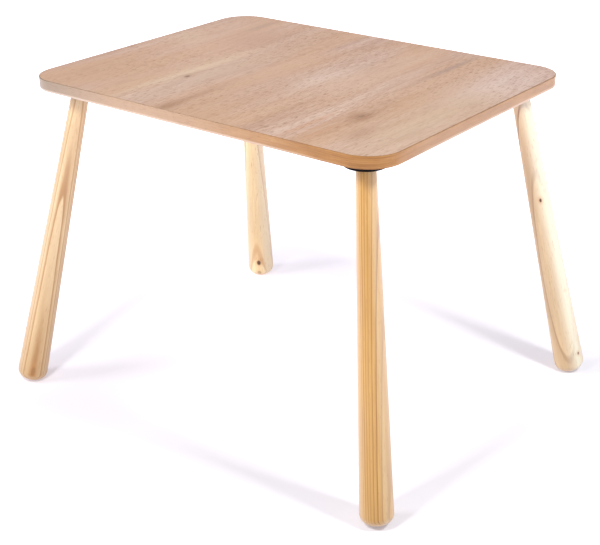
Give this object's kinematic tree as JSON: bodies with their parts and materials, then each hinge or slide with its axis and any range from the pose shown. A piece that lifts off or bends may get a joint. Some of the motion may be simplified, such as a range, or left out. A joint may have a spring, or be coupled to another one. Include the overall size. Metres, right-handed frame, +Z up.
{
  "type": "children's table",
  "caption": "Low child's table: rounded oak-decor board on four splayed, turned wooden legs that taper upward and screw into round, angled black mounts.",
  "frame": {"origin": "on the floor, under the middle of the table top", "axes": "+X along the table's long side, +Y along its short side, +Z up through the table top"},
  "size_m": [0.7775, 0.6364, 0.538],
  "materials": {
    "oak_decor": "satin oak-decor laminate, grain along the short side",
    "underside_decor": "matt oak-decor balancing laminate",
    "chipboard": "raw pressed chipboard",
    "edge_band": "satin wood-print edge band",
    "black_plastic": "fine moulded texture",
    "zinc_steel": "bright zinc plate",
    "leg_wood": "clear-lacquered light hardwood"
  },
  "bodies": {
    "root": {"top_core": "chipboard", "top_laminate": "oak_decor", "underside_laminate": "underside_decor", "edge_band": "edge_band", "mount_front_left": "black_plastic", "mount_front_right": "black_plastic", "mount_rear_right": "black_plastic", "mount_rear_left": "black_plastic", "bush_front_left": "zinc_steel", "bush_front_right": "zinc_steel", "bush_rear_right": "zinc_steel", "bush_rear_left": "zinc_steel", "screws_front_left": "zinc_steel", "screws_front_right": "zinc_steel", "screws_rear_right": "zinc_steel", "screws_rear_left": "zinc_steel"},
    "bolt_front_left": {"bolt_front_left": "zinc_steel"},
    "leg_front_left": {"leg_front_left": "leg_wood"},
    "bolt_front_right": {"bolt_front_right": "zinc_steel"},
    "leg_front_right": {"leg_front_right": "leg_wood"},
    "bolt_rear_right": {"bolt_rear_right": "zinc_steel"},
    "leg_rear_right": {"leg_rear_right": "leg_wood"},
    "bolt_rear_left": {"bolt_rear_left": "zinc_steel"},
    "leg_rear_left": {"leg_rear_left": "leg_wood"}
  },
  "joints": [
    {"name": "leg_front_left_travel", "type": "slide", "parent": "root", "child": "bolt_front_left", "axis": [-0.1711, -0.1711, -0.9703], "range_m": [0, 0.0075]},
    {"name": "leg_front_left_screw", "type": "hinge", "parent": "bolt_front_left", "child": "leg_front_left", "pos_m": [-0.27388, -0.20338, 0.50933], "axis": [-0.1711, -0.1711, -0.9703], "range_deg": [0, 2160]},
    {"name": "leg_front_right_travel", "type": "slide", "parent": "root", "child": "bolt_front_right", "axis": [0.1482, -0.1334, -0.9799], "range_m": [0, 0.0075]},
    {"name": "leg_front_right_screw", "type": "hinge", "parent": "bolt_front_right", "child": "leg_front_right", "pos_m": [0.27813, -0.20797, 0.50922], "axis": [0.1482, -0.1334, -0.9799], "range_deg": [0, 2160]},
    {"name": "leg_rear_right_travel", "type": "slide", "parent": "root", "child": "bolt_rear_right", "axis": [0.174, 0.1681, -0.9703], "range_m": [0, 0.0075]},
    {"name": "leg_rear_right_screw", "type": "hinge", "parent": "bolt_rear_right", "child": "leg_rear_right", "pos_m": [0.27891, 0.21135, 0.50933], "axis": [0.174, 0.1681, -0.9703], "range_deg": [0, 2160]},
    {"name": "leg_rear_left_travel", "type": "slide", "parent": "root", "child": "bolt_rear_left", "axis": [-0.1071, 0.1782, -0.9781], "range_m": [0, 0.0075]},
    {"name": "leg_rear_left_screw", "type": "hinge", "parent": "bolt_rear_left", "child": "leg_rear_left", "pos_m": [-0.26518, 0.19446, 0.50924], "axis": [-0.1071, 0.1782, -0.9781], "range_deg": [0, 2160]}
  ],
  "couplings": [
    {"joint": "leg_front_left_travel", "follows": "leg_front_left_screw", "m_per_rad": 0.00019894},
    {"joint": "leg_front_right_travel", "follows": "leg_front_right_screw", "m_per_rad": 0.00019894},
    {"joint": "leg_rear_right_travel", "follows": "leg_rear_right_screw", "m_per_rad": 0.00019894},
    {"joint": "leg_rear_left_travel", "follows": "leg_rear_left_screw", "m_per_rad": 0.00019894}
  ]
}
